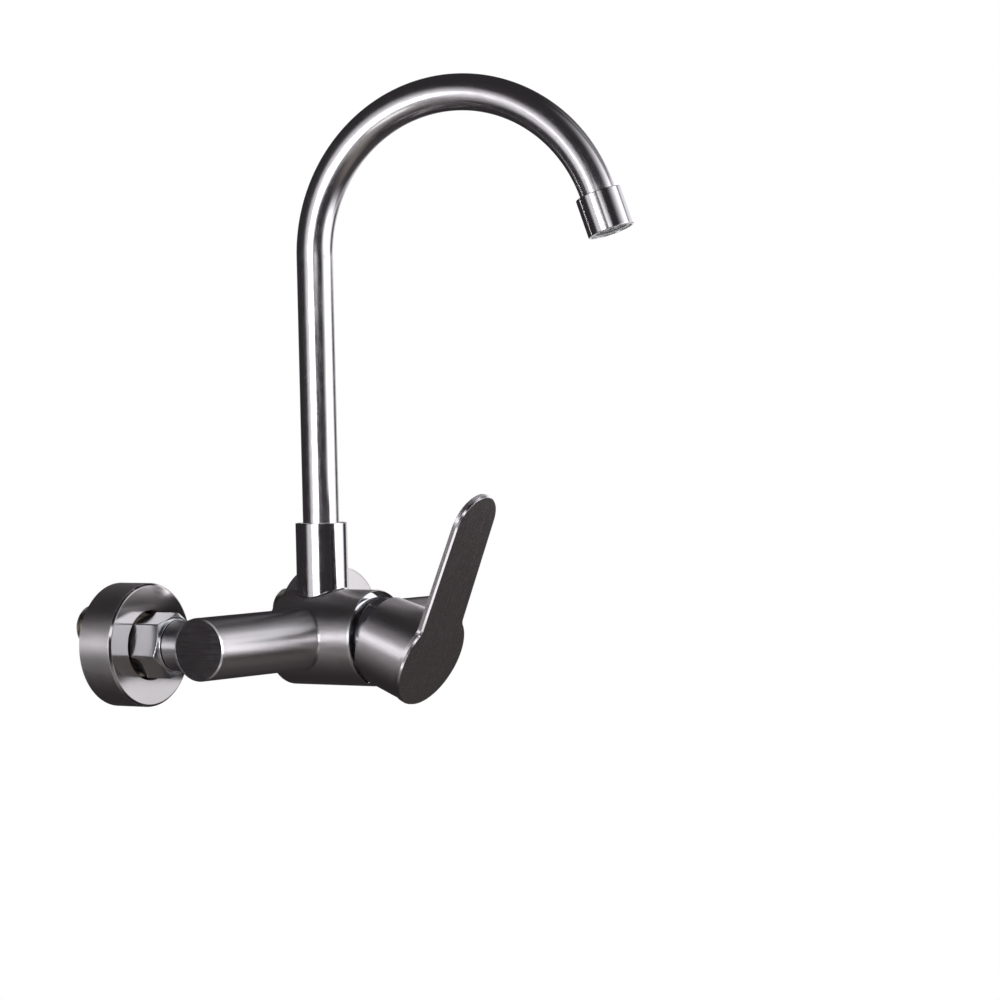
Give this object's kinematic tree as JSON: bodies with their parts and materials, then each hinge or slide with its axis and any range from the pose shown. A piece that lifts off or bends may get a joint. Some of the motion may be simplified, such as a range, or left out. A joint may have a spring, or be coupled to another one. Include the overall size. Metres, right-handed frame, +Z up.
{
  "type": "wall-mounted kitchen mixer",
  "caption": "Wall-mounted single-lever kitchen mixer: cross tube on eccentric unions, swivel arch spout with aerator, ceramic cartridge under a tilting and turning lever.",
  "frame": {"origin": "on the wall face, midway between the axes of the two wall threads", "axes": "+X to the right as the user faces the wall, +Y into the wall along the wall threads, +Z up"},
  "size_m": [0.2098, 0.2479, 0.3035],
  "materials": {
    "polished_steel": "polished stainless steel, faint tube grain",
    "brushed_steel": "turned stainless steel, fine concentric grain",
    "lever_steel": "polished stainless casting, darker reflections",
    "chrome": "chromium plated brass, mirror",
    "brass": "machined brass",
    "seal": "black nitrile rubber",
    "cartridge_plastic": "moulded white acetal",
    "ceramic": "lapped ceramic, stands in for alumina",
    "hardware": "stainless hardware",
    "aerator_plastic": "moulded grey plastic"
  },
  "bodies": {
    "root": {"mixer_body": "polished_steel", "end_cap_left": "polished_steel", "end_cap_right": "polished_steel", "trim_dome": "chrome", "escutcheon_left": "brushed_steel", "escutcheon_right": "brushed_steel", "union_nut_left": "chrome", "union_nut_right": "chrome", "s_union_left": "brass", "s_union_right": "brass", "inlet_tail_left": "brass", "inlet_tail_right": "brass", "escutcheon_ring_left": "seal", "escutcheon_ring_right": "seal", "inlet_washer_left": "seal", "inlet_washer_right": "seal", "port_seals": "seal", "trim_seal": "seal", "cartridge_base": "cartridge_plastic", "cartridge_housing": "cartridge_plastic", "fixed_ceramic_disc": "ceramic", "cartridge_nut": "brass", "spout_screw": "hardware"},
    "rotor": {"cartridge_rotor": "cartridge_plastic", "pivot_pin": "hardware"},
    "lever": {"lever_handle": "lever_steel", "lever_stem": "brass", "handle_screw": "hardware"},
    "disc": {"moving_ceramic_disc": "ceramic", "disc_carrier": "cartridge_plastic"},
    "spout": {"spout_tube": "polished_steel", "spout_foot": "brass", "spout_orings": "seal", "slip_ring": "cartridge_plastic", "outlet_collar": "polished_steel", "aerator_shell": "aerator_plastic", "aerator_core": "aerator_plastic", "aerator_screen": "hardware", "aerator_washer": "seal"}
  },
  "joints": [
    {"name": "spout_swivel", "type": "hinge", "parent": "root", "child": "spout", "pos_m": [0, -0.0662, 0], "axis": [0, 0, 1], "range_deg": [-118.7, 91.3]},
    {"name": "temperature", "type": "hinge", "parent": "root", "child": "rotor", "pos_m": [0, -0.095, -0.008], "axis": [0, 1, 0], "range_deg": [-43.4, 56.6]},
    {"name": "lift", "type": "hinge", "parent": "rotor", "child": "lever", "pos_m": [0, -0.1019, -0.008], "axis": [0.9934, 0, 0.1149], "range_deg": [-20, 0]},
    {"name": "disc_slide", "type": "slide", "parent": "rotor", "child": "disc", "axis": [-0.1149, 0, 0.9934], "range_m": [-0.00559, 0]}
  ],
  "couplings": [
    {"joint": "disc_slide", "follows": "lift", "m_per_rad": 0.015873}
  ]
}
